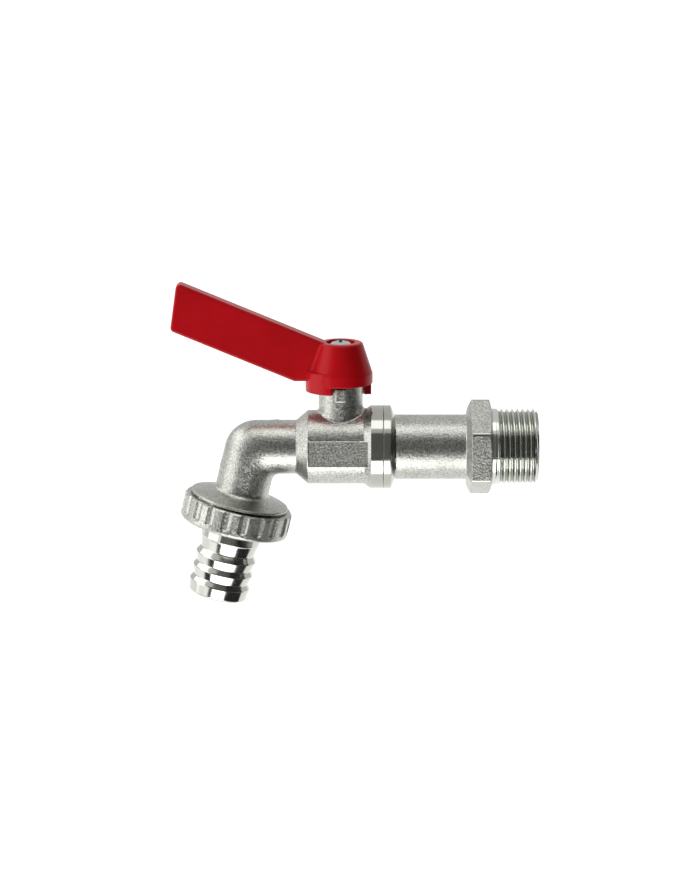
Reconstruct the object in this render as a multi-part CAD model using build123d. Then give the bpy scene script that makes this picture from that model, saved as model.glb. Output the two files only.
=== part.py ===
from build123d import *
from math import atan, cos, degrees, radians, sin, sqrt, tan
import os

# Hose tap of the ball-valve kind, millimetres.
# X runs along the pipe and +X goes into the wall, Z runs up along the stem, and the
# origin is on the pipe axis at the wall face of the spanner hexagon.

# Clearances
fixed_gap = 0.02        # radial or axial, between pieces that are screwed or pressed together
running_gap = 0.05      # between pieces that turn or slide on each other
free_gap = 0.5          # between pieces that pass without touching

# Inlet connector
inlet_thread_d = 26.44      # G 3/4, major diameter
inlet_thread_len = 16.0
inlet_thread_pitch = 1.814
inlet_thread_depth = 1.16   # the thread's turns are drawn as plain rings
inlet_thread_crest = 0.3
inlet_thread_turns = 7
inlet_thread_chamfer = 0.9
inlet_mouth_chamfer = 0.8
hex_across = 29.5
hex_len = 8.3
hex_corner_angle = 26.7     # of the corner next above the front, from the horizontal
hex_chamfer = 0.6           # of the flats by the turned wall end
hex_chamfer_angle = 17.0    # of that cone, from a flat face
hex_taper_from = 7.0        # where the flats start to lean in to the neck
hex_taper_len = 1.6
hex_taper_drop = 3.15       # of the flats over that length
hex_root_len = 1.0          # of the cone between neck and hexagon
neck_bore_d = 16.5
neck_wall = 2.9
neck_len = 25.0
flange_cone_len = 1.35
flange_len = 2.6

# Ball and its two seats
ball_d = 19.0
ball_bore_d = 12.5
ball_slot_width = 4.0
ball_slot_floor = 0.75      # metal left between the slot and the ball's bore
seat_land = 2.05            # plain bore behind the ball's edge
seat_len = 4.4
seat_over = 0.05            # radial, of the seat's outside over the ball

# Valve body
chamber_wall = 2.75
spigot_step = 1.0           # of the connector's thread over the chamber's bore
body_ring_step = 1.65       # of the machined ring over the chamber
body_ring_len = 4.25
ring_cone_len = 2.4
stem_from_joint = 14.65
chamber_reach = 11.3        # from the stem axis to the chamber's shoulder
shoulder_len = 4.0
cast_round = 1.2
plate_len = 20.4            # recess for a name plate, left bare
plate_from_shoulder = 0.2
plate_height = 8.8
plate_depth = 1.2
spout_bore_d = 13.0
spout_wall = 2.85
elbow_reach = 30.6          # from the stem axis to the meeting point of spout and outlet axes
elbow_bend = 2.0            # bend radius of the centre line
elbow_crotch = 3.0          # inner radius of the elbow's outside
drill_overrun = 2.0         # of the spout's two bores past their meeting point
outlet_tilt = 13.5          # of the outlet axis from straight down, away from the wall
collar_from_elbow = 18.65
collar_step = 7.7           # of the collar over the spout
collar_rise = 2.2
collar_rim = 1.0
collar_round = 2.0

# Stem, its seals and the boss round them
stem_d = 8.0
stem_flange_step = 1.4
stem_flange_len = 2.0
stem_sink = 0.4             # of the flange's underside above the chamber's bore
thrust_washer_len = 1.0
o_ring_section = 1.6
o_ring_squeeze_room = 0.3   # of the groove over the ring, along the stem
first_o_ring = 2.4          # from the thrust washer to the middle of the lower ring
o_ring_pitch = 3.2
boss_wall = 2.15
boss_len = 11.0             # above the thrust washer
stop_width = 3.7
stop_reach = 2.8
stop_height = 4.6
stop_round = 0.5

# Lever handle
web_gap = 0.6               # from the boss to the web in the hub
web_len = 7.6
flats_across = 5.6
skirt_gap = 0.9
skirt_wall = 2.5
skirt_depth = 2.4
skirt_band = 3.6
hub_len = 14.2
hub_top_d = 15.0
hub_recess_d = 10.0
hub_round = 1.1
open_lug_step = 1.1
open_lug_drop = 2.6
open_lug_rise = 4.7         # of its ledge above the rim
open_lug_edge = -107.0      # degrees about the stem from +X
open_lug_sweep = 86.0
open_lug_round = 0.6
lug_tuck = 0.2              # of the lugs inside the skirt's faces
closed_lug_drop = 4.6
closed_lug_edge = 13.0
closed_lug_sweep = 56.0
blade_slope = 22.5
blade_width = 16.3
blade_thick = 7.0
blade_reach = 58.3
blade_end_lean = 8.0
blade_root = 4.7            # from the stem axis to where the blade's top leaves the hub
blade_top_sink = 0.2        # of the blade's top under the hub's top, there
blade_foot = 1.0            # of the blade's lower edge above the rim, at the hub
blade_round = 0.8
blade_blend = 1.4           # fillet between the blade's sides and the hub
blade_corner = 1.6
blade_wall = 2.0

# Screw and lock washer
screw_d = 4.0
screw_len = 12.0
screw_head_d = 8.4
screw_head_len = 1.9
screw_dome = 2.0
screw_slot = 1.1
screw_slot_reach = 2.3
screw_slot_depth = 1.7
lock_washer_len = 1.0
lock_washer_wall = 1.6
lock_washer_split = 0.8

# Union: outlet thread, gasket, hose tail and nut
outlet_thread_d = 33.25     # G 1, major diameter: the plain bore of the nut
outlet_root_d = 30.29       # G 1, minor diameter: the plain outlet inside it
outlet_thread_len = 5.0
outlet_thread_chamfer = 0.6
outlet_pocket_d = 24.0
outlet_pocket_len = 5.0
gasket_len = 1.4
tail_flange_d = 29.8
tail_flange_len = 1.5
tail_bore_d = 14.5
tail_neck_d = 20.9
tail_neck_len = 6.05
tail_step = 0.2
first_barb_len = 6.2
first_barb_taper = 1.6
barb_d = 21.4
barb_taper = 1.25
barb_pitch = 4.95
barb_shoulder = 1.3        # along the axis, from a barb's root to the next crest
barb_count = 3
tip_len = 4.3
tip_taper = 0.75
nut_gap = 0.4               # under the collar
nut_lip = 1.2
nut_lip_gap = 0.3           # round the barbs as the nut is threaded over them
nut_wall = 2.25
nut_chamfer = 0.7
nut_base_round = 1.1
flute_count = 20
flute_depth = 0.85
flute_width = 3.5
flute_end = 1.7             # from the bottom of the nut

# Places along the pipe, X
joint_x = -(hex_len + neck_len + flange_cone_len + flange_len)
stem_x = joint_x - stem_from_joint
elbow_x = stem_x - elbow_reach
chamber_end_x = stem_x - chamber_reach

# Radii that follow from the sizes above
neck_r = neck_bore_d / 2 + neck_wall
ball_r = ball_d / 2
port_r = ball_bore_d / 2
seat_r = ball_r + seat_over
chamber_bore_r = max(seat_r + fixed_gap, ball_r + free_gap)
chamber_r = chamber_bore_r + chamber_wall
body_ring_r = chamber_r + body_ring_step
spigot_r = chamber_bore_r + spigot_step
spout_bore_r = spout_bore_d / 2
spout_r = spout_bore_r + spout_wall
collar_r = spout_r + collar_step
stem_r = stem_d / 2
stem_flange_r = stem_r + stem_flange_step
boss_bore_r = stem_r + running_gap
boss_well_r = stem_flange_r + running_gap
boss_r = boss_well_r + boss_wall
skirt_bore_r = boss_r + skirt_gap
skirt_r = skirt_bore_r + skirt_wall
outlet_r = outlet_root_d / 2
nut_bore_r = outlet_thread_d / 2 + running_gap
nut_r = nut_bore_r + nut_wall

# Places along the stem, Z
seat_back = sqrt(ball_r ** 2 - port_r ** 2) + seat_land
stem_flange_z = chamber_bore_r + stem_sink
thrust_z = stem_flange_z + stem_flange_len
boss_well_z = thrust_z + thrust_washer_len + 2 * fixed_gap
boss_top_z = boss_well_z + boss_len
web_z = boss_top_z + web_gap
web_top_z = web_z + web_len
rim_z = web_z - skirt_depth
hub_top_z = rim_z + hub_len
blade_top_z = hub_top_z - blade_top_sink
stop_top_z = rim_z - free_gap
screw_seat_z = web_top_z + lock_washer_len + 2 * fixed_gap

# Places along the outlet axis, from the elbow's corner
collar_under = collar_from_elbow + collar_rim
outlet_end = collar_under + outlet_thread_len
gasket_end = outlet_end + running_gap + gasket_len
tail_flange_end = gasket_end + fixed_gap + tail_flange_len
nut_top = collar_under + nut_gap
nut_lip_top = tail_flange_end + running_gap
nut_end = nut_lip_top + nut_lip

# Working planes; each one's own X runs along the axis that pieces are turned about
turn = 90.0 - outlet_tilt
elbow_setback = (spout_r + elbow_crotch) * tan(radians(turn / 2))
outlet_way = Vector(-sin(radians(outlet_tilt)), 0, -cos(radians(outlet_tilt)))
pipe = Plane(origin=(0, 0, 0), x_dir=(1, 0, 0), z_dir=(0, -1, 0))
stem_line = Plane(origin=(stem_x, 0, 0), x_dir=(0, 0, 1), z_dir=(0, -1, 0))
outlet = Plane(origin=(elbow_x, 0, 0), x_dir=outlet_way, z_dir=(0, -1, 0))


def turned(plane, outline, sweep=360.0):
    """Solid turned about a plane's X from (along, radius, corner rounding) points."""
    points = [(along, radius) for along, radius, rounding in outline]
    roundings = [rounding for along, radius, rounding in outline]
    profile = make_face(FilletPolyline(*points, radius=roundings, close=True).edges())
    return revolve(plane * profile, Axis(plane.origin, plane.x_dir), sweep)


def rod(plane, start, end, radius):
    """Plain cylinder along a plane's X."""
    return turned(plane, [(start, 0, 0), (start, radius, 0), (end, radius, 0), (end, 0, 0)])


def tube(plane, start, end, inner, outer):
    """Plain ring along a plane's X."""
    return turned(plane, [(start, inner, 0), (start, outer, 0), (end, outer, 0), (end, inner, 0)])


def crossing_edges(solid):
    """Edges where two curved faces cut each other."""
    return [e for e in solid.edges() if e.geom_type not in (GeomType.LINE, GeomType.CIRCLE)]


def stem_sector(bottom, top, inner, outer, start_angle, sweep):
    """Part of a ring about the stem, from an angle on, counter-clockwise from above."""
    side = Plane(
        origin=(stem_x, 0, 0),
        x_dir=(cos(radians(start_angle)), sin(radians(start_angle)), 0),
        z_dir=(sin(radians(start_angle)), -cos(radians(start_angle)), 0),
    )
    middle = Pos((inner + outer) / 2, (bottom + top) / 2)
    profile = side * (middle * Rectangle(outer - inner, top - bottom))
    return revolve(profile, Axis((stem_x, 0, 0), (0, 0, 1)), sweep)


def double_d(bottom, top, radius, across):
    """Round bar along the stem with two flats."""
    bar = rod(stem_line, bottom, top, radius)
    slab = Box(2 * radius + 2, across, top - bottom)
    return bar & Pos(stem_x, 0, (bottom + top) / 2) * slab


def elbow_outside():
    """Outside of the elbow: a tight outer bend and a wider inner one, lofted through ellipses."""
    pivot = spout_r + elbow_crotch
    pivot_x = elbow_x + elbow_setback
    bend_x = elbow_x + elbow_bend * tan(radians(turn / 2))
    outer_bend = spout_r + elbow_bend
    steps = 8
    sections = []
    for step in range(steps + 1):
        angle = radians(turn * step / steps)
        nearer = min(angle, radians(turn) - angle)
        reach = (pivot + spout_r) / cos(nearer)
        if pivot_x - reach * sin(nearer) < bend_x:
            across = (pivot_x - bend_x) * sin(nearer) + (pivot - elbow_bend) * cos(nearer)
            offset_sq = (pivot_x - bend_x) ** 2 + (pivot - elbow_bend) ** 2 - across ** 2
            reach = across + sqrt(outer_bend ** 2 - offset_sq)
        outward = Vector(-sin(angle), 0, cos(angle))
        middle = Vector(pivot_x, 0, -pivot) + outward * ((reach + elbow_crotch) / 2)
        normal = Vector(-cos(angle), 0, -sin(angle))
        section = Plane(origin=middle, x_dir=outward, z_dir=normal)
        if step in (0, steps):
            sections.append(section * Circle(spout_r))
        else:
            sections.append(section * Ellipse((reach - elbow_crotch) / 2, spout_r))
    return loft(sections)


def make_inlet_connector():
    spigot_end = stem_x + seat_back + fixed_gap
    flange_x = joint_x + flange_len
    neck_x = flange_x + flange_cone_len
    flange_r = body_ring_r
    thread_r = inlet_thread_d / 2
    thread_end = inlet_thread_len - inlet_thread_chamfer
    groove_width = inlet_thread_pitch - inlet_thread_crest
    grooves = []
    for turns_left in range(inlet_thread_turns, 0, -1):
        start = thread_end - turns_left * inlet_thread_pitch
        grooves.append((start, thread_r, 0))
        grooves.append((start + groove_width / 2, thread_r - inlet_thread_depth, 0))
        grooves.append((start + groove_width, thread_r, 0))
    barrel = turned(pipe, [
        (spigot_end, 0, 0),
        (spigot_end, spigot_r - fixed_gap, 0.4),
        (joint_x + fixed_gap, spigot_r - fixed_gap, 0),
        (joint_x + fixed_gap, flange_r, 0.15),
        (flange_x, flange_r, 0.3),
        (neck_x, neck_r, 0.5),
        (-hex_len - hex_root_len, neck_r, 0.8),
        (-hex_len, neck_r + hex_root_len, 0),
        (-hex_len / 2, neck_r + hex_root_len, 0),
        (-hex_len / 2, thread_r, 0),
        *grooves,
        (thread_end, thread_r, 0),
        (inlet_thread_len, thread_r - inlet_thread_chamfer, 0),
        (inlet_thread_len, 0, 0),
    ])
    corner_r = hex_across / sqrt(3)
    face_r = hex_across / 2 - hex_chamfer
    slope = (corner_r - face_r) * tan(radians(hex_chamfer_angle))
    bar = Plane(origin=(-hex_taper_from, 0, 0), x_dir=(0, -1, 0), z_dir=(1, 0, 0))
    hexagon = bar * (Rot(0, 0, -hex_corner_angle) * RegularPolygon(corner_r, 6))
    lean = degrees(atan(hex_taper_drop / hex_taper_len))
    flats = extrude(hexagon, hex_taper_from) + extrude(hexagon, -hex_taper_len, taper=lean)
    ends = turned(pipe, [
        (-hex_len - hex_taper_len, 0, 0),
        (-hex_len - hex_taper_len, corner_r, 0),
        (-slope, corner_r, 0),
        (0, face_r, 0),
        (0, 0, 0),
    ])
    bore_step = joint_x + flange_len
    waterway = turned(pipe, [
        (spigot_end - 1, 0, 0),
        (spigot_end - 1, port_r, 0),
        (bore_step - (neck_bore_d / 2 - port_r), port_r, 0),
        (bore_step, neck_bore_d / 2, 0),
        (inlet_thread_len - inlet_mouth_chamfer, neck_bore_d / 2, 0),
        (inlet_thread_len, neck_bore_d / 2 + inlet_mouth_chamfer, 0),
        (inlet_thread_len + 1, neck_bore_d / 2 + inlet_mouth_chamfer, 0),
        (inlet_thread_len + 1, 0, 0),
    ])
    return barrel + (flats & ends) - waterway


def make_valve_body():
    ring_x = joint_x - body_ring_len
    barrel = turned(pipe, [
        (joint_x, 0, 0),
        (joint_x, body_ring_r, 0.15),
        (ring_x, body_ring_r, 0.2),
        (ring_x - ring_cone_len, chamber_r, cast_round),
        (chamber_end_x, chamber_r, cast_round),
        (chamber_end_x - shoulder_len, spout_r, cast_round),
        (elbow_x + elbow_setback, spout_r, 0),
        (elbow_x + elbow_setback, 0, 0),
    ])
    boss = rod(stem_line, 0, boss_top_z, boss_r)
    barrel = barrel + boss
    barrel = fillet(crossing_edges(barrel), cast_round)
    stop = Box(stop_width, boss_r + stop_reach, stop_height)
    stop = fillet(stop.faces().sort_by(Axis.Y)[0].edges(), stop_round)
    stop_z = stop_top_z - stop_height / 2
    barrel = barrel + Pos(stem_x, -(boss_r + stop_reach) / 2, stop_z) * stop

    collar = turned(outlet, [
        (elbow_setback, 0, 0),
        (elbow_setback, spout_r, 0),
        (collar_from_elbow - collar_rise, spout_r, collar_round),
        (collar_from_elbow, collar_r, 0.35),
        (collar_under, collar_r, 0.35),
        (collar_under, outlet_r, 0),
        (outlet_end - outlet_thread_chamfer, outlet_r, 0),
        (outlet_end, outlet_r - outlet_thread_chamfer, 0),
        (outlet_end, 0, 0),
    ])
    plate = Box(plate_len, 2 * plate_depth, plate_height)
    plate_x = chamber_end_x + plate_from_shoulder + plate_len / 2
    outside = barrel + elbow_outside() + collar - Pos(plate_x, -chamber_r, 0) * plate

    pocket_x = stem_x - seat_back - fixed_gap
    spigot_x = stem_x + seat_back
    inside = rod(pipe, pocket_x, joint_x + 1, chamber_bore_r)
    inside = inside + rod(pipe, spigot_x, joint_x + 1, spigot_r)
    inside = inside + rod(pipe, elbow_x - drill_overrun, pocket_x + 1, spout_bore_r)
    inside = inside + rod(outlet, -drill_overrun, outlet_end + 1, spout_bore_r)
    inside = inside + rod(outlet, outlet_end - outlet_pocket_len, outlet_end + 1, outlet_pocket_d / 2)
    inside = inside + rod(stem_line, 0, boss_well_z, boss_well_r)
    inside = inside + rod(stem_line, 0, boss_top_z + 1, boss_bore_r)
    return outside - inside


def make_ball():
    slot_z = port_r + ball_slot_floor
    ball = Pos(stem_x, 0, 0) * Sphere(ball_r) - rod(pipe, stem_x - ball_r, stem_x + ball_r, port_r)
    slot = Box(ball_slot_width, ball_d, ball_r)
    return ball - Pos(stem_x, 0, slot_z + ball_r / 2) * slot


def make_seat(side):
    middle = stem_x + side * (seat_back - seat_len / 2)
    ring = Pos(middle, (port_r + seat_r) / 2) * Rectangle(seat_len, seat_r - port_r)
    hollow = Pos(stem_x, 0) * Circle(ball_r + running_gap)
    return revolve(pipe * (ring - hollow), Axis.X)


def o_ring_z(index):
    return boss_well_z + first_o_ring + index * o_ring_pitch


def make_stem():
    shank = rod(stem_line, stem_flange_z, web_z, stem_r)
    shank = shank + rod(stem_line, stem_flange_z, thrust_z, stem_flange_r)
    shank = shank + double_d(web_z - 1, web_top_z - free_gap, stem_r, flats_across)
    groove_half = (o_ring_section + o_ring_squeeze_room) / 2
    for index in range(2):
        middle = o_ring_z(index)
        groove_r = stem_r - o_ring_section
        shank = shank - tube(stem_line, middle - groove_half, middle + groove_half, groove_r, stem_r + 1)
    tang_z = port_r + ball_slot_floor + running_gap
    tang_len = stem_flange_z + 0.5 - tang_z
    tang = Box(ball_slot_width - 2 * running_gap, 2 * stem_r, tang_len)
    shank = shank + Pos(stem_x, 0, tang_z + tang_len / 2) * tang
    hole_end = screw_seat_z - screw_len - 1
    return shank - rod(stem_line, hole_end, web_top_z + 1, screw_d / 2 + fixed_gap)


def make_thrust_washer():
    start = thrust_z + fixed_gap
    return tube(stem_line, start, start + thrust_washer_len, boss_bore_r, stem_flange_r)


def make_o_ring(index):
    middle_r = stem_r - o_ring_section / 2
    return Pos(stem_x, 0, o_ring_z(index)) * Torus(middle_r, o_ring_section / 2)


def blade_prism():
    """The lever's blade: its side view carried across the lever, with the long edges rounded."""
    slope = tan(radians(blade_slope))
    lean = tan(radians(blade_end_lean))
    low_z = blade_top_z - blade_width / cos(radians(blade_slope)) + (blade_reach - blade_root) * slope
    high_x = (blade_reach - lean * (blade_top_z - blade_root * slope - low_z)) / (1 + lean * slope)
    high_z = blade_top_z + (high_x - blade_root) * slope
    foot_z = rim_z + blade_foot
    foot_x = blade_reach - (low_z - foot_z) / slope
    outline = FilletPolyline(
        (stem_x - blade_root, blade_top_z),
        (stem_x - high_x, high_z),
        (stem_x - blade_reach, low_z),
        (stem_x - foot_x, foot_z),
        (stem_x - blade_root, foot_z),
        radius=[0, blade_corner, blade_corner, blade_corner, 0],
        close=True,
    )
    blade = extrude(pipe * make_face(outline.edges()), blade_thick / 2, both=True)
    side_edges = [e for e in blade.edges() if abs(e.center().Y) > blade_thick / 2 - 0.01]
    return fillet(side_edges, blade_round)


def blade_core():
    """Hollow in the blade, open below."""
    slope = radians(blade_slope)
    start = (skirt_r + open_lug_step + blade_wall - blade_root) / cos(slope)
    end = (blade_reach - blade_root - blade_width * sin(slope)) / cos(slope) - blade_wall
    top = Plane(
        origin=(stem_x - blade_root, 0, blade_top_z), x_dir=(-cos(slope), 0, sin(slope)), z_dir=(0, 1, 0)
    )
    middle = Pos((start + end) / 2, -blade_wall - blade_width / 2)
    profile = top * (middle * Rectangle(end - start, blade_width))
    return extrude(profile, blade_thick / 2 - blade_wall, both=True)


def on_blade_root(edge):
    """Whether an edge lies where the blade's sides leave the hub."""
    middle = edge.center()
    near_side = abs(abs(middle.Y) - blade_thick / 2) < 0.3
    return near_side and sqrt((middle.X - stem_x) ** 2 + middle.Y ** 2) < skirt_r + 0.6


def make_lever_handle():
    hub = turned(stem_line, [
        (rim_z, 0, 0),
        (rim_z, skirt_r, 0.3),
        (rim_z + skirt_band, skirt_r, 1.0),
        (hub_top_z, hub_top_d / 2, hub_round),
        (hub_top_z, 0, 0),
    ])
    lever = hub + blade_prism()
    lever = fillet([e for e in lever.edges() if on_blade_root(e)], blade_blend)
    open_lug = stem_sector(
        rim_z - open_lug_drop, rim_z + open_lug_rise, skirt_bore_r - lug_tuck, skirt_r + open_lug_step + 1,
        open_lug_edge - open_lug_sweep, open_lug_sweep,
    )
    flush_share = -cos(radians(open_lug_edge))
    lug_shift = (open_lug_step + lug_tuck) / (1 - flush_share)
    lug_r = skirt_r + open_lug_step - lug_shift
    lug_line = Plane(origin=(stem_x - lug_shift, 0, 0), x_dir=(0, 0, 1), z_dir=(0, -1, 0))
    open_lug = open_lug & rod(lug_line, rim_z - open_lug_drop - 1, rim_z + open_lug_rise + 1, lug_r)
    ledge = open_lug.edges().group_by(Axis.Z)[-1].sort_by(SortBy.LENGTH)[-1]
    open_lug = fillet(ledge, open_lug_round)
    closed_lug = stem_sector(
        rim_z - closed_lug_drop, rim_z + 1, skirt_bore_r - lug_tuck, skirt_r - lug_tuck,
        closed_lug_edge, closed_lug_sweep,
    )
    lever = lever + open_lug + closed_lug - blade_core()
    well = rod(stem_line, rim_z - closed_lug_drop - 1, web_z, skirt_bore_r)
    recess = rod(stem_line, web_top_z, hub_top_z + 1, hub_recess_d / 2)
    eye = double_d(web_z - 1, web_top_z + 1, stem_r + fixed_gap, flats_across + 2 * fixed_gap)
    return lever - well - recess - eye


def make_handle_screw():
    head_r = screw_head_d / 2
    head_z = screw_seat_z + screw_head_len
    ball_radius = (head_r ** 2 + screw_dome ** 2) / (2 * screw_dome)
    shank = rod(stem_line, screw_seat_z - screw_len, screw_seat_z + 0.5, screw_d / 2)
    head = rod(stem_line, screw_seat_z, head_z + screw_dome, head_r)
    dome = Pos(stem_x, 0, head_z + screw_dome - ball_radius) * Sphere(ball_radius)
    screw = shank + (head & dome)
    slot_z = head_z + screw_dome - screw_slot_depth + 2
    for angle in (0, 90):
        slot = Rot(0, 0, angle) * Box(2 * screw_slot_reach, screw_slot, 4)
        screw = screw - Pos(stem_x, 0, slot_z) * slot
    return screw


def make_lock_washer():
    start = web_top_z + fixed_gap
    inner = screw_d / 2 + running_gap
    ring = tube(stem_line, start, start + lock_washer_len, inner, inner + lock_washer_wall)
    split = Box(inner + lock_washer_wall + 1, lock_washer_split, lock_washer_len + 2)
    return ring - Pos(stem_x + (inner + lock_washer_wall + 1) / 2, 0, start) * split


def make_union_nut():
    blank = turned(outlet, [
        (nut_top, nut_bore_r, 0),
        (nut_top, nut_r - nut_chamfer, 0.2),
        (nut_top + nut_chamfer, nut_r, 0.3),
        (nut_end, nut_r, nut_base_round),
        (nut_end, barb_d / 2 + nut_lip_gap, 0),
        (nut_lip_top, barb_d / 2 + nut_lip_gap, 0),
        (nut_lip_top, nut_bore_r, 0),
    ])
    half_width = flute_width / 2
    cutter_r = (half_width ** 2 + flute_depth ** 2) / (2 * flute_depth)
    cutter_at = nut_r - flute_depth + cutter_r
    flute_line = Plane(
        origin=outlet.from_local_coords((0, cutter_at, 0)), x_dir=outlet.x_dir, z_dir=outlet.z_dir
    )
    full_end = nut_end - flute_end - flute_depth
    cutter = turned(flute_line, [
        (nut_top - 1, 0, 0),
        (nut_top - 1, cutter_r, 0),
        (full_end, cutter_r, 0),
        (full_end + cutter_r, 0, 0),
    ])
    axis = Axis(outlet.origin, outlet.x_dir)
    for index in range(flute_count):
        blank = blank - cutter.rotate(axis, (index + 0.5) * 360 / flute_count)
    return blank


def make_hose_tail():
    neck_end = tail_flange_end + tail_neck_len
    barb_r = barb_d / 2
    outline = [
        (gasket_end + fixed_gap, tail_bore_d / 2, 0),
        (gasket_end + fixed_gap, tail_flange_d / 2, 0),
        (tail_flange_end, tail_flange_d / 2, 0),
        (tail_flange_end, tail_neck_d / 2, 0.5),
        (neck_end, tail_neck_d / 2, 0),
        (neck_end, tail_neck_d / 2 - tail_step, 0),
        (neck_end + first_barb_len - barb_shoulder, barb_r - first_barb_taper, 0.3),
    ]
    for index in range(barb_count - 1):
        crest = neck_end + first_barb_len + index * barb_pitch
        outline.append((crest, barb_r, 0.2))
        outline.append((crest + barb_pitch - barb_shoulder, barb_r - barb_taper, 0.3))
    tip = neck_end + first_barb_len + (barb_count - 1) * barb_pitch
    outline.append((tip, barb_r, 0.2))
    outline.append((tip + tip_len, barb_r - tip_taper, 0.3))
    outline.append((tip + tip_len, tail_bore_d / 2, 0))
    return turned(outlet, outline)


def make_union_gasket():
    start = outlet_end + running_gap
    return tube(outlet, start, start + gasket_len, outlet_pocket_d / 2, tail_flange_d / 2)


pieces = {
    "valve_body": make_valve_body(),
    "inlet_connector": make_inlet_connector(),
    "ball": make_ball(),
    "ball_seat_inlet": make_seat(1),
    "ball_seat_outlet": make_seat(-1),
    "stem": make_stem(),
    "stem_thrust_washer": make_thrust_washer(),
    "stem_o_ring_lower": make_o_ring(0),
    "stem_o_ring_upper": make_o_ring(1),
    "lever_handle": make_lever_handle(),
    "handle_screw": make_handle_screw(),
    "screw_lock_washer": make_lock_washer(),
    "union_nut": make_union_nut(),
    "hose_tail": make_hose_tail(),
    "union_gasket": make_union_gasket(),
}

os.makedirs("parts", exist_ok=True)
for name, piece in pieces.items():
    export_step(piece, f"parts/{name}.step")
    box = piece.bounding_box()
    print(name, len(piece.solids()), [round(v, 2) for v in (*box.min, *box.max)])
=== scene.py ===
from math import cos, radians, sin, tan
import bmesh
import bpy
import numpy as np
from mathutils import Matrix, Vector


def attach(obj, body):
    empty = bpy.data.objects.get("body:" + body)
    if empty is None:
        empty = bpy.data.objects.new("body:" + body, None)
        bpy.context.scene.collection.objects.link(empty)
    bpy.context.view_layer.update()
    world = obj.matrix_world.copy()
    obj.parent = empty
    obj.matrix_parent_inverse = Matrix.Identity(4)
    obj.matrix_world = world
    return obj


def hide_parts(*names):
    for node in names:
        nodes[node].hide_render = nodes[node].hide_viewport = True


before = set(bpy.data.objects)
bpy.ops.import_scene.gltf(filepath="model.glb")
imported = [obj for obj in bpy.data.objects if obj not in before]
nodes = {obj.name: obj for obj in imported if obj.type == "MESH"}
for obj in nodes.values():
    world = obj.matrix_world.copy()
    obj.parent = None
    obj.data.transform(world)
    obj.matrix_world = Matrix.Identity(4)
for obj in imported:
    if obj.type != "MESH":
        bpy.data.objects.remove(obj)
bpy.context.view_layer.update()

mm = 0.001
mmPerMetre = 1000
noiseLow, noiseHigh = 0.3, 0.7  # a noise texture keeps mostly within these values
edgeSamples = 6
mergeMm = 0.0001
print("frame loaded:", len(nodes), "solids")


# sRGB hex to linear: the low end is a straight line, the rest a 2.4 power
def hexColour(code):
    srgb = np.array([int(code[i:i + 2], 16) for i in (1, 3, 5)]) / 255
    linear = np.where(srgb <= 0.04045, srgb / 12.92, ((srgb + 0.055) / 1.055) ** 2.4)
    return (*linear.tolist(), 1.0)


# adds a node, sets its own settings and unlinked inputs, and links the rest
def addNode(tree, kind, settings=None, inputs=None):
    node = tree.nodes.new(kind)
    for key, value in (settings or {}).items():
        setattr(node, key, value)
    for key, value in (inputs or {}).items():
        if isinstance(value, bpy.types.NodeSocket):
            tree.links.new(value, node.inputs[key])
        else:
            node.inputs[key].default_value = value
    return node


def newMaterial(name):
    material = bpy.data.materials.new(name)
    material.use_nodes = True
    tree = material.node_tree
    shader = next(node for node in tree.nodes if node.type == "BSDF_PRINCIPLED")
    return material, tree, shader


# nickel plate over a shot-blasted brass casting: a soft satin with a fine even grain, turned bright
# where the ring at the joint was machined. The grain is drawn coarser than grit leaves it, to show
castNickelLook = {
    "colour": "#cbccc5", "colourAt": 0.62, "pit": "#82847d", "pitAt": 0.3,
    "roughness": 0.33, "smoother": 0.04, "rougher": 0.06,
    "grainMm": 0.6, "grainHeightMm": 0.1, "stainMm": 9.0, "stainShare": 0.25, "edgeMm": 0.35,
    "ringFromMm": -41.6, "ringColour": "#b0b2aa", "ringRoughness": 0.12,
}


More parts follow.
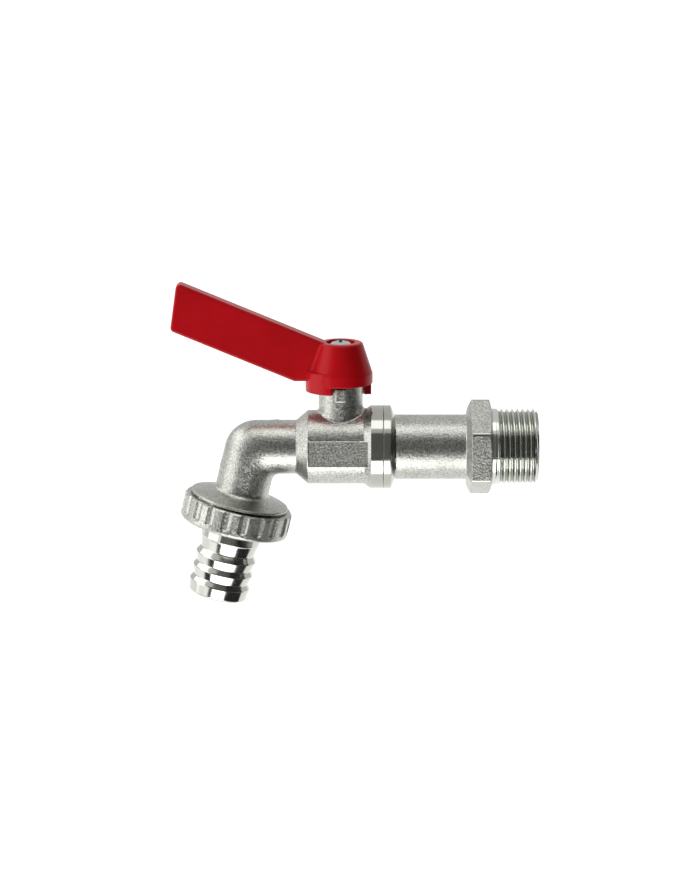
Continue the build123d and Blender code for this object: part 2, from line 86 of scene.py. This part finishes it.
def castNickel(look, name, hasRing):
    material, tree, shader = newMaterial(name)
    place = addNode(tree, "ShaderNodeTexCoord").outputs["Object"]
    grain = addNode(tree, "ShaderNodeTexNoise", None,
                    {"Vector": place, "Scale": mmPerMetre / look["grainMm"],
                     "Detail": 2.0, "Roughness": 0.5}).outputs["Fac"]
    stain = addNode(tree, "ShaderNodeTexNoise", None,
                    {"Vector": place, "Scale": mmPerMetre / look["stainMm"],
                     "Detail": 4.0, "Roughness": 0.65}).outputs["Fac"]
    speckle = addNode(tree, "ShaderNodeMix", {"data_type": "FLOAT"},
                      {"Factor": look["stainShare"], "A": grain, "B": stain}).outputs["Result"]
    tint = addNode(tree, "ShaderNodeValToRGB", None, {"Fac": speckle})
    for stop, key in zip(tint.color_ramp.elements, ("pit", "colour")):
        stop.position, stop.color = look[key + "At"], hexColour(look[key])
    rough = addNode(tree, "ShaderNodeMapRange", None,
                    {"Value": grain, "From Min": noiseLow, "From Max": noiseHigh,
                     "To Min": look["roughness"] - look["smoother"],
                     "To Max": look["roughness"] + look["rougher"]}).outputs["Result"]
    colour, height = tint.outputs["Color"], grain
    if hasRing:
        along = addNode(tree, "ShaderNodeSeparateXYZ", None, {"Vector": place}).outputs["X"]
        turned = addNode(tree, "ShaderNodeMath", {"operation": "GREATER_THAN"},
                         {0: along, 1: look["ringFromMm"] * mm}).outputs["Value"]
        rough = addNode(tree, "ShaderNodeMix", {"data_type": "FLOAT"},
                        {"Factor": turned, "A": rough, "B": look["ringRoughness"]}).outputs["Result"]
        # 6, 7 and 2 are the mix node's sockets for colours
        colour = addNode(tree, "ShaderNodeMix", {"data_type": "RGBA"},
                         {"Factor": turned, 6: colour, 7: hexColour(look["ringColour"])}).outputs[2]
        cast = addNode(tree, "ShaderNodeMath", {"operation": "SUBTRACT"},
                       {0: 1.0, 1: turned}).outputs["Value"]
        height = addNode(tree, "ShaderNodeMath", {"operation": "MULTIPLY"},
                         {0: height, 1: cast}).outputs["Value"]
    # blasting has taken the sharpness off the edges
    edge = addNode(tree, "ShaderNodeBevel", {"samples": edgeSamples}, {"Radius": look["edgeMm"] * mm})
    bump = addNode(tree, "ShaderNodeBump", None,
                   {"Height": height, "Strength": 1.0, "Distance": look["grainHeightMm"] * mm,
                    "Normal": edge.outputs["Normal"]})
    tree.links.new(colour, shader.inputs["Base Color"])
    tree.links.new(rough, shader.inputs["Roughness"])
    tree.links.new(bump.outputs["Normal"], shader.inputs["Normal"])
    shader.inputs["Metallic"].default_value = 1.0
    return material


# bright nickel over turned brass: near mirror, with a fine tooth left by the tool and faint smears
turnedNickelLook = {
    "colour": "#c6c8c0", "roughness": 0.12, "smoother": 0.03, "rougher": 0.05,
    "toothMm": 0.18, "toothHeightMm": 0.002, "smearMm": 4.0,
}
# the same on the connector's machined faces, dulled by handling; over its thread a lighter copy, painted light
# for the light bounced between the flanks, and in the thread's roots a darker copy, painted shade for the
# shadow down in the grooves
machinedLook = dict(turnedNickelLook, colour="#b0b2aa")
paintedLightThreadLook = dict(turnedNickelLook, colour="#d0d2cb", roughness=0.14)
paintedShadeThreadRootLook = dict(turnedNickelLook, colour="#acaea7", roughness=0.14)


def turnedNickel(look, name):
    material, tree, shader = newMaterial(name)
    place = addNode(tree, "ShaderNodeTexCoord").outputs["Object"]
    smear = addNode(tree, "ShaderNodeTexNoise", None,
                    {"Vector": place, "Scale": mmPerMetre / look["smearMm"], "Detail": 3.0})
    rough = addNode(tree, "ShaderNodeMapRange", None,
                    {"Value": smear.outputs["Fac"], "From Min": noiseLow, "From Max": noiseHigh,
                     "To Min": look["roughness"] - look["smoother"],
                     "To Max": look["roughness"] + look["rougher"]})
    tooth = addNode(tree, "ShaderNodeTexNoise", None,
                    {"Vector": place, "Scale": mmPerMetre / look["toothMm"], "Detail": 2.0})
    bump = addNode(tree, "ShaderNodeBump", None,
                   {"Height": tooth.outputs["Fac"], "Strength": 0.25,
                    "Distance": look["toothHeightMm"] * mm})
    tree.links.new(rough.outputs["Result"], shader.inputs["Roughness"])
    tree.links.new(bump.outputs["Normal"], shader.inputs["Normal"])
    shader.inputs["Base Color"].default_value = hexColour(look["colour"])
    shader.inputs["Metallic"].default_value = 1.0
    return material


# red stoving enamel on an aluminium casting: deep red under a thin clear skin with slight orange peel
redEnamelLook = {
    "colour": "#b80c16", "colourAt": 0.65, "shade": "#ae0a12", "shadeAt": 0.35, "driftMm": 12.0,
    "roughness": 0.3, "specular": 0.12, "coat": 0.06, "coatRoughness": 0.06,
    "peelMm": 1.6, "peelHeightMm": 0.012, "edgeMm": 0.6,
}


def redEnamel(look):
    material, tree, shader = newMaterial("redStovingEnamel")
    place = addNode(tree, "ShaderNodeTexCoord").outputs["Object"]
    drift = addNode(tree, "ShaderNodeTexNoise", None,
                    {"Vector": place, "Scale": mmPerMetre / look["driftMm"], "Detail": 2.0})
    tint = addNode(tree, "ShaderNodeValToRGB", None, {"Fac": drift.outputs["Fac"]})
    for stop, key in zip(tint.color_ramp.elements, ("shade", "colour")):
        stop.position, stop.color = look[key + "At"], hexColour(look[key])
    peel = addNode(tree, "ShaderNodeTexNoise", None,
                   {"Vector": place, "Scale": mmPerMetre / look["peelMm"], "Detail": 2.0})
    # the thick skin rounds off each edge that it runs over
    edge = addNode(tree, "ShaderNodeBevel", {"samples": edgeSamples}, {"Radius": look["edgeMm"] * mm})
    bump = addNode(tree, "ShaderNodeBump", None,
                   {"Height": peel.outputs["Fac"], "Strength": 0.5,
                    "Distance": look["peelHeightMm"] * mm, "Normal": edge.outputs["Normal"]})
    tree.links.new(tint.outputs["Color"], shader.inputs["Base Color"])
    tree.links.new(bump.outputs["Normal"], shader.inputs["Normal"])
    shader.inputs["Roughness"].default_value = look["roughness"]
    shader.inputs["Specular IOR Level"].default_value = look["specular"]
    shader.inputs["Coat Weight"].default_value = look["coat"]
    shader.inputs["Coat Roughness"].default_value = look["coatRoughness"]
    return material


# small plain finishes, each with a fine grain that shifts its roughness a little: zinc plate and chrome
# are bright, turned brass is warm and soft, skived PTFE waxy, and moulded nitrile rubber dull
plainLooks = {
    "zincPlatedSteel": {"colour": "#c3c5c8", "metallic": 1.0, "roughness": 0.24,
                        "grainMm": 0.3, "heightMm": 0.004},
    "chromedBrass": {"colour": "#d8dade", "metallic": 1.0, "roughness": 0.06,
                     "grainMm": 0.4, "heightMm": 0.001},
    "turnedBrass": {"colour": "#c69a4e", "metallic": 1.0, "roughness": 0.2,
                    "grainMm": 0.25, "heightMm": 0.003},
    "skivedPtfe": {"colour": "#ecebe6", "metallic": 0.0, "roughness": 0.55,
                   "grainMm": 0.6, "heightMm": 0.006},
    "blackNitrileRubber": {"colour": "#1b1b1b", "metallic": 0.0, "roughness": 0.6,
                           "grainMm": 0.35, "heightMm": 0.008},
}
plainSmoother, plainRougher = 0.85, 1.2


def plainFinish(name, look):
    material, tree, shader = newMaterial(name)
    place = addNode(tree, "ShaderNodeTexCoord").outputs["Object"]
    grain = addNode(tree, "ShaderNodeTexNoise", None,
                    {"Vector": place, "Scale": mmPerMetre / look["grainMm"], "Detail": 3.0})
    rough = addNode(tree, "ShaderNodeMapRange", None,
                    {"Value": grain.outputs["Fac"], "From Min": noiseLow, "From Max": noiseHigh,
                     "To Min": look["roughness"] * plainSmoother,
                     "To Max": look["roughness"] * plainRougher})
    bump = addNode(tree, "ShaderNodeBump", None,
                   {"Height": grain.outputs["Fac"], "Strength": 0.4, "Distance": look["heightMm"] * mm})
    tree.links.new(rough.outputs["Result"], shader.inputs["Roughness"])
    tree.links.new(bump.outputs["Normal"], shader.inputs["Normal"])
    shader.inputs["Base Color"].default_value = hexColour(look["colour"])
    shader.inputs["Metallic"].default_value = look["metallic"]
    return material


ringedCastPlate = castNickel(castNickelLook, "castNickelPlateMachinedRing", True)
castPlate = castNickel(castNickelLook, "castNickelPlate", False)
brightPlate = turnedNickel(turnedNickelLook, "turnedNickelPlate")
machinedPlate = turnedNickel(machinedLook, "machinedNickelPlate")
paintedLightThreadPlate = turnedNickel(paintedLightThreadLook, "threadPaintedLightNickel")
paintedShadeRootPlate = turnedNickel(paintedShadeThreadRootLook, "threadRootPaintedShadeNickel")
enamel = redEnamel(redEnamelLook)
plain = {name: plainFinish(name, look) for name, look in plainLooks.items()}

# finish of each solid that stays in sight or inside
solidFinishes = {
    "valve_body": ringedCastPlate,
    "union_nut": castPlate,
    "lever_handle": enamel,
    "handle_screw": plain["zincPlatedSteel"],
    "screw_lock_washer": plain["zincPlatedSteel"],
    "ball": plain["chromedBrass"],
    "stem": plain["turnedBrass"],
    "ball_seat_inlet": plain["skivedPtfe"],
    "ball_seat_outlet": plain["skivedPtfe"],
    "stem_thrust_washer": plain["skivedPtfe"],
    "stem_o_ring_lower": plain["blackNitrileRubber"],
    "stem_o_ring_upper": plain["blackNitrileRubber"],
    "union_gasket": plain["blackNitrileRubber"],
}
for node, material in solidFinishes.items():
    nodes[node].data.materials.clear()
    nodes[node].data.materials.append(material)
print("finishes made:", len(bpy.data.materials))


# a mesh from a grid of points, closed in both directions: each quad joins a point to its next ones.
# seamRow is the row that each row runs into when it has gone round, a thread's being one pitch back
def gridPiece(name, points, materials, materialOf, sharpDeg, seamRow=None):
    rows, columns = points.shape[:2]
    index = np.arange(rows * columns).reshape(rows, columns)
    beside = np.roll(index, -1, axis=1)
    if seamRow is not None:
        beside[:, -1] = index[seamRow, 0]
    nextIndex, nextBeside = np.roll(index, -1, axis=0), np.roll(beside, -1, axis=0)
    quads = np.stack([index, beside, nextBeside, nextIndex], axis=-1).reshape(-1, 4)
    kinds = np.broadcast_to(materialOf.reshape(rows, -1), (rows, columns)).ravel().astype(np.int32)
    # faces that point inwards enclose a volume below nothing, and are turned round
    flat = points.reshape(-1, 3)
    a, b, c = (flat[quads[:, k]] for k in range(3))
    if np.einsum("ij,ij->", np.cross(a, b), c) < 0:
        quads = quads[:, ::-1]
    # rows that run into one and the same row have no face between them there
    whole = quads[:, 1] != quads[:, 2]
    quads, kinds = quads[whole], kinds[whole]
    mesh = bpy.data.meshes.new(name)
    mesh.from_pydata(flat.tolist(), [], quads.tolist())
    for material in materials:
        mesh.materials.append(material)
    mesh.polygons.foreach_set("material_index", kinds)
    mesh.polygons.foreach_set("use_smooth", np.ones(len(quads), bool))
    # points that fall together at a thread's ends become one, and faces squeezed to nothing go with them
    shell = bmesh.new()
    shell.from_mesh(mesh)
    bmesh.ops.remove_doubles(shell, verts=shell.verts, dist=mergeMm * mm)
    shell.to_mesh(mesh)
    shell.free()
    mesh.set_sharp_from_angle(angle=radians(sharpDeg))
    mesh.update()
    piece = bpy.data.objects.new(name, mesh)
    bpy.context.scene.collection.objects.link(piece)
    return piece


# inlet connector, in millimetres along X from the hexagon's wall face; the rows are spigot, flange,
# neck, hexagon, thread, waterway, and how finely each is drawn
connectorSizes = {
    "spigotEnd": -42.68, "spigotRadius": 10.98, "spigotChamfer": 0.4, "jointX": -37.23,
    "flangeRadius": 14.4, "flangeEnd": -34.65, "jointFaceRadius": 12.5, "jointRound": 0.15,
    "jointRoundMid": 0.05, "landInset": (0.4, 0.25), "flangeCorner": ((-0.1, 0.03), (0.05, 0.22)),
    "neckRadius": 11.15, "neckEnd": -33.3, "neckInset": 0.35, "coneFoot": 0.25, "neckFillet": 1.0,
    "hexAcross": 29.5, "hexLen": 8.3, "hexCornerDeg": 26.7, "hexRound": 1.15, "hexFaceRadius": 14.15,
    "hexChamferDeg": 17.0, "hexTaperFrom": -7.0, "hexTaperLen": 1.6, "hexTaperDrop": 3.15,
    "hexTaperBow": 1.15, "burnishEnd": -0.7,
    "threadRadius": 13.22, "threadFrom": 0.3, "threadEnd": 16.0, "pitch": 1.814, "threadDepth": 1.16,
    # paintedShadeDepth: how deep in the groove the roots' painted shade begins
    "crestShare": 0.15, "rootShare": 0.15, "paintedShadeDepth": 0.5, "runOutFrom": 1.3, "runOutTo": 3.2,
    "footHeight": 0.25, "footLen": 0.08, "threadChamfer": 1.2, "chamferSlope": 1.05,
    "boreRadius": 8.25, "mouthRadius": 9.05, "mouthLen": 0.8, "endFaceRadius": 10.6, "cutLen": 3,
    "portRadius": 6.25,
    "sides": 192, "cornerColumnsDeg": (0.4, 0.8, 1.2, 1.6, 2.0, 2.4), "stepsPerPitch": 20,
    "landRings": 8, "coneRings": 5, "neckRings": 12, "filletRings": 7, "taperRings": 14,
    "hexRings": 41, "boreRings": 12, "sharpDeg": 28,
}


# radius of the outside at each place along X and each angle: a turned profile, with the lesser of
# hexagon and chamfer cones at the spanner part, and a V groove wound round at the thread
def makeConnector(size):
    finishes = [castPlate, machinedPlate, paintedLightThreadPlate, paintedShadeRootPlate]
    cast, machined, thread, root = range(len(finishes))
    # columns all round, with a few more on both sides of each corner of the hexagon
    besideCorner = np.array(size["cornerColumnsDeg"])
    nearCorner = np.add.outer(np.arange(6) * 60.0, np.concatenate([-besideCorner, besideCorner])).ravel()
    turn = np.union1d(np.arange(size["sides"]) * 360.0 / size["sides"], np.mod(nearCorner, 360))
    angle = np.radians(size["hexCornerDeg"] + turn)
    places, radii, kinds = [], [], []

    def addRings(x, radius, kind):
        x = np.asarray(x, float)
        radius = np.asarray(radius, float)
        if radius.ndim < 2:
            radius = np.broadcast_to(radius[:, None], (len(x), len(angle)))
        places.append(np.broadcast_to(x.reshape(len(x), -1), radius.shape))
        radii.append(radius)
        kinds.append(np.broadcast_to(kind, radius.shape))

    # spigot
    spigotEnd, spigotRadius, chamfer = size["spigotEnd"], size["spigotRadius"], size["spigotChamfer"]
    addRings([spigotEnd], [size["portRadius"]], machined)
    addRings([spigotEnd, spigotEnd + chamfer], [spigotRadius - chamfer, spigotRadius], machined)

    # flange, from the joint to the cone that runs down to the neck
    joint, flange, flangeEnd = size["jointX"], size["flangeRadius"], size["flangeEnd"]
    edge, edgeMid = size["jointRound"], size["jointRoundMid"]
    addRings([joint] * 3, [spigotRadius, size["jointFaceRadius"], flange - edge], machined)
    addRings([joint + edgeMid, joint + edge], [flange - edgeMid, flange], machined)
    insetFrom, insetTo = size["landInset"]
    land = np.linspace(joint + insetFrom, flangeEnd - insetTo, size["landRings"])
    addRings(land, np.full(len(land), flange), machined)
    cornerX, cornerDrop = np.array(size["flangeCorner"]).T
    addRings(flangeEnd + cornerX, flange - cornerDrop, machined)
    slope = np.linspace(0, 1, size["coneRings"] + 1)[1:]
    addRings(flangeEnd + slope * (size["neckEnd"] - flangeEnd),
             flange + slope * (size["neckRadius"] + size["coneFoot"] - flange), machined)

    # neck, with a fillet up to the hexagon
    fillet = size["neckFillet"]
    filletFrom = -size["hexLen"] - fillet
    neckX = np.linspace(size["neckEnd"] + size["neckInset"], filletFrom, size["neckRings"])
    addRings(neckX, np.full(len(neckX), size["neckRadius"]), cast)
    sweep = np.linspace(0, np.pi / 3, size["filletRings"] + 1)[1:]
    filletX = filletFrom + fillet * np.sin(sweep)
    filletRadius = size["neckRadius"] + fillet * (1 - np.cos(sweep))

    # spanner hexagon: distance to a flat is the half width over the cosine of the angle from its middle,
    # and near a corner the far side of a small circle set in it
    flatAngle = np.mod(np.radians(turn), np.pi / 3) - np.pi / 6
    flat = size["hexAcross"] / 2
    prism = flat / np.cos(flatAngle)
    cornerAngle = np.pi / 6 - np.abs(flatAngle)
    circleFlat = flat - size["hexRound"]
    circleAt = circleFlat / cos(radians(30))
    under = np.clip(size["hexRound"] ** 2 - (circleAt * np.sin(cornerAngle)) ** 2, 0, None)
    rounded = circleAt * np.cos(cornerAngle) + np.sqrt(under)
    onCircle = cornerAngle < np.pi / 6 - np.arctan(circleFlat * tan(radians(30)) / flat)
    prism = np.where(onCircle, rounded, prism)
    # on the neck's side the hexagon is cast with a taper, and by the thread it is chamfered
    taperFrom = size["hexTaperFrom"]
    taperEnd = taperFrom - size["hexTaperLen"]
    hexX = np.concatenate([filletX[filletX < taperEnd],
                           np.linspace(taperEnd, taperFrom, size["taperRings"]),
                           np.linspace(taperFrom, 0, size["hexRings"] + 1)[1:]])
    lean = np.clip((taperFrom - hexX) / size["hexTaperLen"], 0, 1)
    share = 1 - lean ** size["hexTaperBow"] * size["hexTaperDrop"] / flat
    ends = size["hexFaceRadius"] - hexX / tan(radians(size["hexChamferDeg"]))
    hexRadius = np.minimum(prism[None, :] * share[:, None], ends[:, None])
    filletHere = np.interp(hexX, filletX, filletRadius)[:, None]
    hexRadius = np.where((hexX < taperEnd)[:, None], filletHere, np.maximum(hexRadius, filletHere))
    # the corners are burnished bright by spanners
    rubbed = (hexX > taperFrom) & (hexX < size["burnishEnd"])
    addRings(hexX, hexRadius, np.where(onCircle[None, :] & rubbed[:, None], machined, cast))
    addRings([0.0], [size["threadRadius"] + size["footHeight"]], cast)
    addRings([size["footLen"]], [size["threadRadius"]], machined)

    # thread: each row is one line of the right-hand screw, a pitch back for each turn, so its part of the
    # V stays the same all along it; the groove's depth fades out by the hexagon. The rows of one turn
    # before the start lie squeezed in the first ring, for the first turn's seam to run into
    steps, threadFrom, threadEnd = size["stepsPerPitch"], size["threadFrom"], size["threadEnd"]
    count = int(np.ceil((threadEnd - threadFrom) / size["pitch"] + 1) * steps) + 1
    line = np.arange(-steps, count)
    threadX = threadFrom + size["pitch"] * (line[:, None] / steps - turn[None, :] / 360)
    threadX = np.clip(threadX, threadFrom, threadEnd)
    fromRoot = np.abs(np.mod(line / steps, 1) - 0.5)
    halfRoot, halfCrest = size["rootShare"] / 2, size["crestShare"] / 2
    vee = np.clip((fromRoot - halfRoot) / (0.5 - halfRoot - halfCrest), 0, 1)
    fade = np.clip((threadX - size["runOutFrom"]) / (size["runOutTo"] - size["runOutFrom"]), 0, 1)
    groove = (1 - vee)[:, None] * fade
    pastChamfer = np.clip(threadX - (threadEnd - size["threadChamfer"]), 0, None)
    threadRadius = np.minimum(size["threadRadius"] - size["threadDepth"] * groove,
                              size["threadRadius"] - pastChamfer * size["chamferSlope"])
    firstRow = sum(len(rings) for rings in places)
    threadRows = slice(firstRow, firstRow + len(line))
    # rows deep in the groove take the darker finish, painted shade, and the rest the lighter one, painted
    # light
    addRings(threadX, threadRadius, np.where(groove > size["paintedShadeDepth"], root, thread))

    # waterway back to the spigot
    boreRadius, portRadius = size["boreRadius"], size["portRadius"]
    addRings([threadEnd] * 2, [size["endFaceRadius"], size["mouthRadius"]], machined)
    addRings([threadEnd - size["mouthLen"]], [boreRadius], machined)
    bore = np.linspace(threadEnd - size["cutLen"], flangeEnd, size["boreRings"])
    addRings(bore, np.full(len(bore), boreRadius), cast)
    addRings([flangeEnd - (boreRadius - portRadius)], [portRadius], cast)

    x = np.concatenate(places)
    radius = np.concatenate(radii)
    points = np.stack([x, -radius * np.cos(angle), radius * np.sin(angle)], axis=-1) * mm
    seamRow = np.arange(len(x))
    seamRow[threadRows] = np.maximum(firstRow, seamRow[threadRows] - steps)
    return gridPiece("threadedConnector", points, finishes, np.concatenate(kinds), size["sharpDeg"], seamRow)


connector = makeConnector(connectorSizes)
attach(connector, "valve")
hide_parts("inlet_connector")
print("connector made:", len(connector.data.polygons), "faces")

# union threads, in millimetres along the outlet from the elbow's corner; the nut's runs in the outlet's
unionSizes = {
    "cornerX": -82.5, "tiltDeg": 13.5, "pitch": 2.309, "rootRadius": 15.145, "crestRadius": 16.6,
    "flatShare": 0.1, "play": 0.06, "outletFrom": 19.65, "outletTo": 24.4, "leadLen": 1.2,
    "outletSunk": 0.3, "nutFrom": 20.25, "nutTo": 26.4, "nutBackRadius": 16.8,
    "sides": 200, "stepsPerPitch": 16, "sharpDeg": 40,
}


# points at a distance along the outlet, an angle about it and a radius from it
def aroundOutlet(size, along, angle, radius):
    tilt = radians(size["tiltDeg"])
    axis = np.array([-sin(tilt), 0.0, -cos(tilt)])
    side = np.array([-cos(tilt), 0.0, sin(tilt)])
    front = np.array([0.0, -1.0, 0.0])
    turned = np.cos(angle)[..., None] * front + np.sin(angle)[..., None] * side
    corner = np.array([size["cornerX"], 0, 0])
    return (corner + along[..., None] * axis + radius[..., None] * turned) * mm


# a thread's surface is a V wave, flat at crest and root, of the turns counted along it less the turns
# gone round; the ring behind it is sunk in the solid that carries it
def makeUnionThread(size, name, start, end, lead, play, backRadius, body):
    angle = np.arange(size["sides"]) * 2 * np.pi / size["sides"]
    along = np.linspace(start, end, int((end - start) / size["pitch"] * size["stepsPerPitch"]))
    phase = np.mod(along[:, None] / size["pitch"] - angle[None, :] / (2 * np.pi), 1)
    flat = size["flatShare"]
    wave = np.clip((1 - np.abs(2 * phase - 1) - flat) / (1 - 2 * flat), 0, 1)
    depth = size["crestRadius"] - size["rootRadius"]
    radius = size["rootRadius"] + play + depth * wave
    if lead > 0:
        taper = size["rootRadius"] + (end - along) / lead * depth
        radius = np.minimum(radius, taper[:, None])
    rows = np.concatenate([along, [end, start]])
    radius = np.concatenate([radius, np.full((2, len(angle)), backRadius)])
    shape = radius.shape
    points = aroundOutlet(size, np.broadcast_to(rows[:, None], shape), np.broadcast_to(angle, shape), radius)
    thread = gridPiece(name, points, [brightPlate], np.zeros(len(rows)), size["sharpDeg"])
    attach(thread, body)
    return thread


outletThread = makeUnionThread(
    unionSizes, "outletThread", unionSizes["outletFrom"], unionSizes["outletTo"], unionSizes["leadLen"],
    0.0, unionSizes["rootRadius"] - unionSizes["outletSunk"], "valve")
nutThread = makeUnionThread(
    unionSizes, "nutThread", unionSizes["nutFrom"], unionSizes["nutTo"], 0.0,
    unionSizes["play"], unionSizes["nutBackRadius"], "union_nut")
print("union threads made:", len(outletThread.data.polygons) + len(nutThread.data.polygons), "faces")

# hose tail, in millimetres along the outlet from the elbow's corner
tailSizes = {
    "from": 26.12, "boreRadius": 7.25, "flangeRadius": 14.9, "flangeEnd": 27.62,
    "neckRadius": 10.45, "neckEnd": 33.67, "neckStep": 0.2, "neckStepLen": 0.1,
    "crests": (39.87, 44.82, 49.77), "crestRadius": 10.7, "firstShoulder": 2.1, "firstRootRadius": 9.4,
    "shoulder": 1.7, "rootRadius": 9.65, "end": 54.07, "tipRadius": 10.21, "tipLen": 0.5, "endRadius": 9.7,
    "roundMm": 0.35, "roundSamples": 9, "stepMm": 0.1, "sides": 168, "sharpDeg": 40,
}


# a turned profile of straight runs, its corners softened by averaging the radius over a short length
def makeTail(size):
    first, second, third = size["crests"]
    crest, root, shoulder = size["crestRadius"], size["rootRadius"], size["shoulder"]
    runs = np.array([
        (size["flangeEnd"], size["neckRadius"]), (size["neckEnd"], size["neckRadius"]),
        (size["neckEnd"] + size["neckStepLen"], size["neckRadius"] - size["neckStep"]),
        (first - size["firstShoulder"], size["firstRootRadius"]), (first, crest),
        (second - shoulder, root), (second, crest), (third - shoulder, root), (third, crest),
        (size["end"] - size["tipLen"], size["tipRadius"]), (size["end"], size["endRadius"]),
    ])
    along = np.arange(size["flangeEnd"], size["end"], size["stepMm"])
    around = np.linspace(-size["roundMm"] / 2, size["roundMm"] / 2, size["roundSamples"])
    outside = np.interp(along[:, None] + around, runs[:, 0], runs[:, 1]).mean(axis=1)
    rows = np.concatenate([[size["from"]] * 2, [size["flangeEnd"]], along, [size["end"]] * 2])
    radius = np.concatenate([[size["boreRadius"]], [size["flangeRadius"]] * 2, outside,
                             [size["endRadius"], size["boreRadius"]]])
    angle = np.arange(size["sides"]) * 2 * np.pi / size["sides"]
    shape = (len(rows), len(angle))
    points = aroundOutlet(unionSizes, np.broadcast_to(rows[:, None], shape), np.broadcast_to(angle, shape),
                          np.broadcast_to(radius[:, None], shape))
    return gridPiece("barbedTail", points, [brightPlate], np.zeros(len(rows)), size["sharpDeg"])


tail = makeTail(tailSizes)
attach(tail, "hose_tail")
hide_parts("hose_tail")
print("hose tail made:", len(tail.data.polygons), "faces")


# camera: on the photograph's line of sight, looking a little down on the tap
cameraSet = {
    "elevationDeg": 12.7, "distanceM": 1.0, "targetMm": (-48.7, 0.0, 1.3), "frameHeightMm": 306.2,
    "sensorMm": 36.0, "clipStartM": 0.01,
}


# the focal length is to the sensor's height as the distance is to the height that the frame takes in
def makeCamera(values):
    lens = bpy.data.cameras.new("photoCamera")
    camera = bpy.data.objects.new("photoCamera", lens)
    bpy.context.scene.collection.objects.link(camera)
    lift = radians(values["elevationDeg"])
    target = Vector(values["targetMm"]) * mm
    camera.location = target + Vector((0, -cos(lift), sin(lift))) * values["distanceM"]
    camera.rotation_euler = (radians(90) - lift, 0, 0)
    lens.sensor_fit = "VERTICAL"
    lens.sensor_height = values["sensorMm"]
    lens.lens = values["sensorMm"] * values["distanceM"] / (values["frameHeightMm"] * mm)
    lens.clip_start = values["clipStartM"]
    bpy.context.scene.camera = camera


makeCamera(cameraSet)
print("camera set")

# studio, in metres: a wide pale floor well below the tap and an even white room; the grey and black
# cards show only in reflections, as flags do round polished metal
studio = {
    "floorColour": "#f4f4f4", "floorRoughness": 0.9, "floorGlow": 0.5, "white": "#ffffff", "roomLevel": 0.75,
    "floorX": (-6.0, 6.0), "floorY": (-6.0, 10.0), "floorZ": -0.4,
    "greyCard": "#666666", "blackCard": "#2b2b2b", "cardRoughness": 1.0, "cardZ": (-0.395, 1.1),
    "frontCardX": (-0.8, 0.8), "frontCardY": -0.9, "rightCardX": 0.8, "rightCardY": (-0.9, 0.2),
    "floorCardLift": 0.004,
    "floorCards": {"leftFloorCard": ((-0.72, -0.5), 0.1), "frontFloorCard": ((-0.5, 0.08), -0.76),
                   "rightFloorCard": ((0.08, 0.6), 0.1)},
}


def addCard(name, corners, material, seen):
    mesh = bpy.data.meshes.new(name)
    mesh.from_pydata(corners, [], [(0, 1, 2, 3)])
    mesh.materials.append(material)
    card = bpy.data.objects.new(name, mesh)
    card.visible_camera = seen
    bpy.context.scene.collection.objects.link(card)


def lyingCorners(left, right, front, back, z):
    return [(left, front, z), (right, front, z), (right, back, z), (left, back, z)]


def makeStudio(values):
    white = hexColour(values["white"])
    floor, _, shader = newMaterial("matteWhiteFloor")
    shader.inputs["Base Color"].default_value = hexColour(values["floorColour"])
    shader.inputs["Roughness"].default_value = values["floorRoughness"]
    shader.inputs["Emission Color"].default_value = white
    shader.inputs["Emission Strength"].default_value = values["floorGlow"]
    addCard("paleFloor", lyingCorners(*values["floorX"], *values["floorY"], values["floorZ"]), floor, True)

    cards = {}
    for name in ("greyCard", "blackCard"):
        cards[name], _, shader = newMaterial(name)
        shader.inputs["Base Color"].default_value = hexColour(values[name])
        shader.inputs["Roughness"].default_value = values["cardRoughness"]
    (left, right), y, (low, high) = values["frontCardX"], values["frontCardY"], values["cardZ"]
    addCard("frontCard", [(left, y, low), (right, y, low), (right, y, high), (left, y, high)],
            cards["greyCard"], False)
    x, (front, back) = values["rightCardX"], values["rightCardY"]
    addCard("rightCard", [(x, front, low), (x, back, low), (x, back, high), (x, front, high)],
            cards["blackCard"], False)
    z = values["floorZ"] + values["floorCardLift"]
    for name, ((left, right), back) in values["floorCards"].items():
        addCard(name, lyingCorners(left, right, y, back, z), cards["blackCard"], False)

    world = bpy.data.worlds.new("studioRoom")
    bpy.context.scene.world = world
    world.use_nodes = True
    room = next(node for node in world.node_tree.nodes if node.type == "BACKGROUND")
    room.inputs["Color"].default_value = white
    room.inputs["Strength"].default_value = values["roomLevel"]


makeStudio(studio)

# softboxes, in metres and watts: above, to the left, low in front, and high behind on the left
softboxes = {
    "topSoftbox": {"place": (-0.05, -0.28, 1.1), "aim": (-0.05, -0.28, 0), "size": (0.8, 0.56), "power": 2.05},
    "leftSoftbox": {"place": (-1.1, -0.35, 0.1), "aim": (-0.05, -0.1, 0), "size": (0.9, 0.8), "power": 2.6},
    "lowSoftbox": {"place": (-0.2, -0.47, -0.39), "aim": (-0.2, -0.47, 0), "size": (0.55, 0.6), "power": 2.5},
    "backSoftbox": {"place": (-0.87, 0.02, 0.68), "aim": (-0.05, 0, 0), "size": (1.15, 0.45), "power": 2.5},
}


def addSoftbox(name, values):
    light = bpy.data.lights.new(name, "AREA")
    light.shape = "RECTANGLE"
    light.size, light.size_y = values["size"]
    light.energy = values["power"]
    lamp = bpy.data.objects.new(name, light)
    lamp.visible_camera = False
    bpy.context.scene.collection.objects.link(lamp)
    place, aim = Vector(values["place"]), Vector(values["aim"])
    lamp.location = place
    lamp.rotation_euler = (aim - place).to_track_quat("-Z", "Y").to_euler()


for name, values in softboxes.items():
    addSoftbox(name, values)
bpy.context.scene.view_settings.view_transform = "Standard"
print("studio set")
